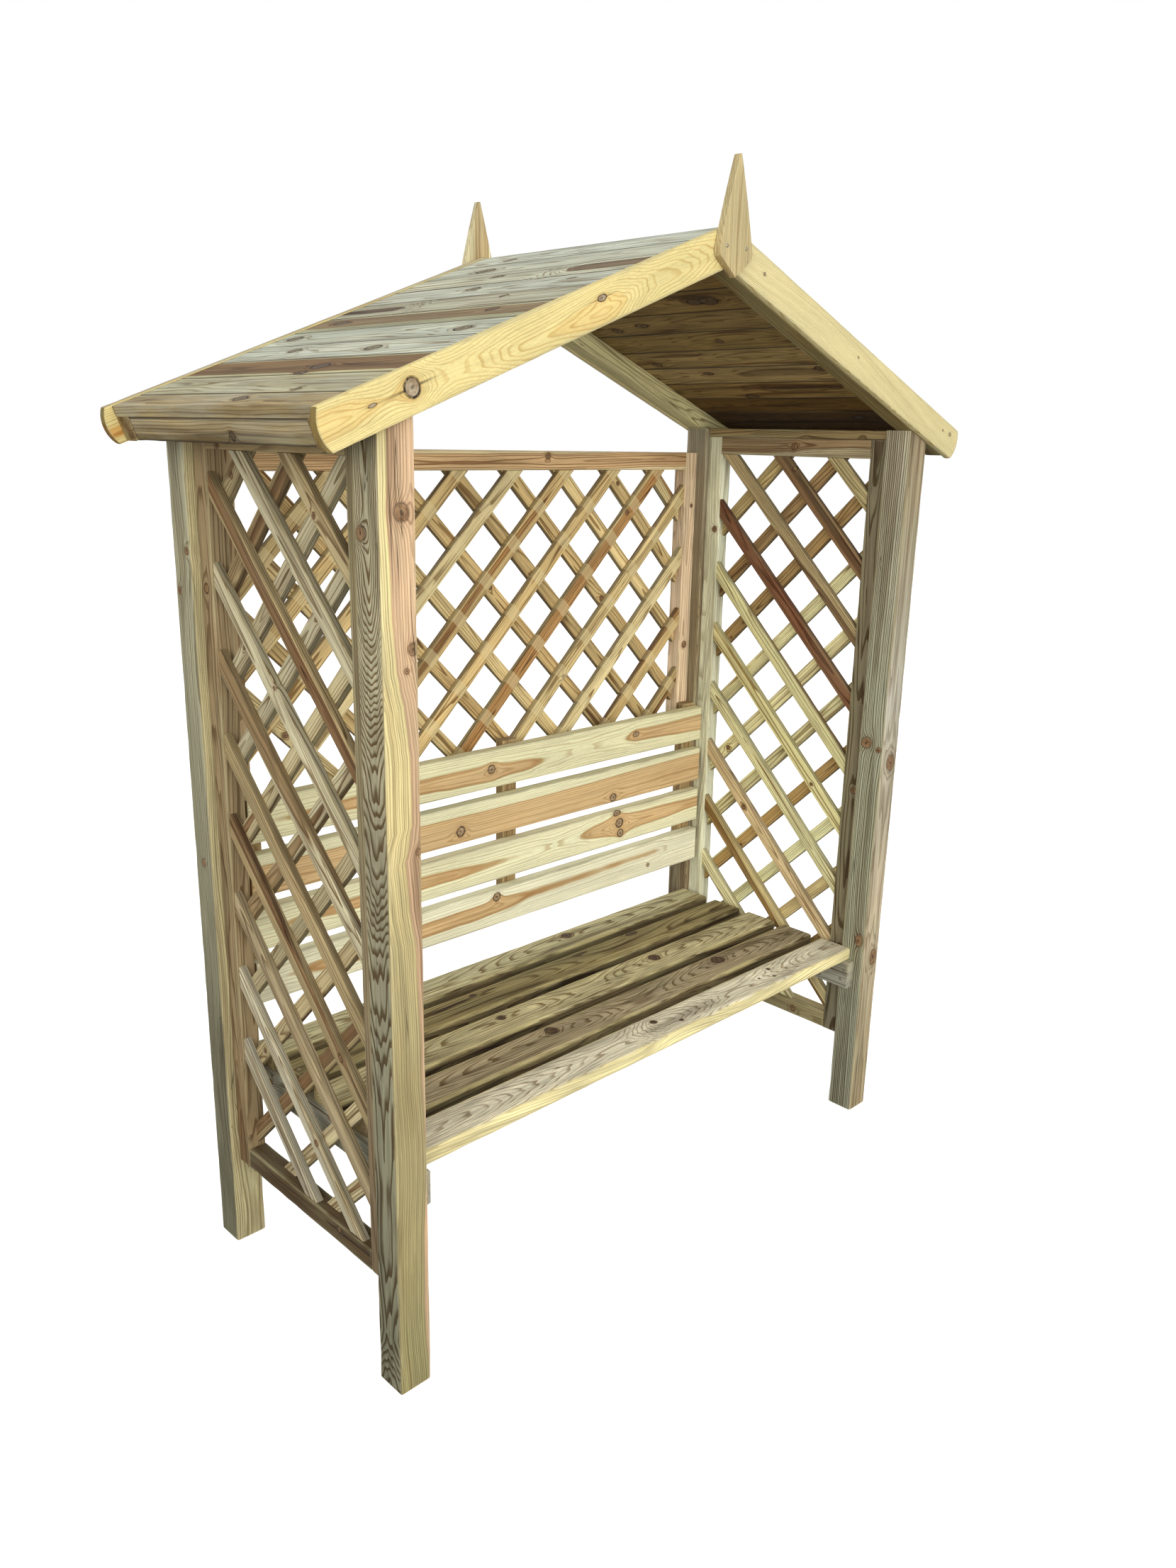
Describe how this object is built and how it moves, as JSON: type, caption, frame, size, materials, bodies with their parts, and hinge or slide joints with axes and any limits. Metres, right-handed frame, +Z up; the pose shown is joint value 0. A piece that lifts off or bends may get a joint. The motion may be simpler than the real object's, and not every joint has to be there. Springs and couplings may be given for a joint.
{
  "type": "arbour seat",
  "caption": "Timber garden arbour with a slatted bench and backrest, trellis sides and back, and a gabled boarded roof on square posts with pointed finials.",
  "frame": {"origin": "on the ground, midway between the four posts", "axes": "+X to the right seen from the front, +Y to the rear, +Z up"},
  "size_m": [1.8028, 0.7612, 2.266],
  "materials": {
    "post": "weathered, pressure-treated pine",
    "trellis_frame": "weathered, pressure-treated pine",
    "trellis_laths": "weathered, pressure-treated pine",
    "roof_boards": "weathered, pressure-treated pine",
    "rafter": "weathered, pressure-treated pine",
    "bargeboard": "weathered, pressure-treated pine",
    "finial": "weathered, pressure-treated pine",
    "seat_board": "weathered, pressure-treated pine",
    "seat_bearer": "weathered, pressure-treated pine",
    "backrest_slat": "weathered, pressure-treated pine",
    "backrest_batten": "weathered, pressure-treated pine",
    "screw": "zinc plated, dull"
  },
  "bodies": {
    "root": {"post_front_left": "post", "post_front_right": "post", "post_rear_left": "post", "post_rear_right": "post", "left_panel_front_stile": "trellis_frame", "left_panel_rear_stile": "trellis_frame", "left_panel_bottom_rail": "trellis_frame", "left_panel_top_rail": "trellis_frame", "right_panel_front_stile": "trellis_frame", "right_panel_rear_stile": "trellis_frame", "right_panel_bottom_rail": "trellis_frame", "right_panel_top_rail": "trellis_frame", "back_panel_left_stile": "trellis_frame", "back_panel_right_stile": "trellis_frame", "back_panel_bottom_rail": "trellis_frame", "back_panel_top_rail": "trellis_frame", "wall_plate_left": "trellis_frame", "wall_plate_right": "trellis_frame", "left_panel_laths": "trellis_laths", "right_panel_laths": "trellis_laths", "back_panel_laths": "trellis_laths", "roof_boards_left": "roof_boards", "roof_boards_right": "roof_boards", "eaves_board_left": "roof_boards", "eaves_board_right": "roof_boards", "rafter_front_left": "rafter", "rafter_front_right": "rafter", "rafter_rear_left": "rafter", "rafter_rear_right": "rafter", "bargeboard_front_left": "bargeboard", "bargeboard_front_right": "bargeboard", "bargeboard_rear_left": "bargeboard", "bargeboard_rear_right": "bargeboard", "finial_front": "finial", "finial_rear": "finial", "seat_board_1": "seat_board", "seat_board_2": "seat_board", "seat_board_3": "seat_board", "seat_board_4": "seat_board", "seat_board_5": "seat_board", "seat_bearer_left": "seat_bearer", "seat_bearer_right": "seat_bearer", "backrest_slat_1": "backrest_slat", "backrest_slat_2": "backrest_slat", "backrest_slat_3": "backrest_slat", "backrest_slat_4": "backrest_slat", "backrest_batten_left": "backrest_batten", "backrest_batten_middle": "backrest_batten", "backrest_batten_right": "backrest_batten"}
  },
  "joints": []
}
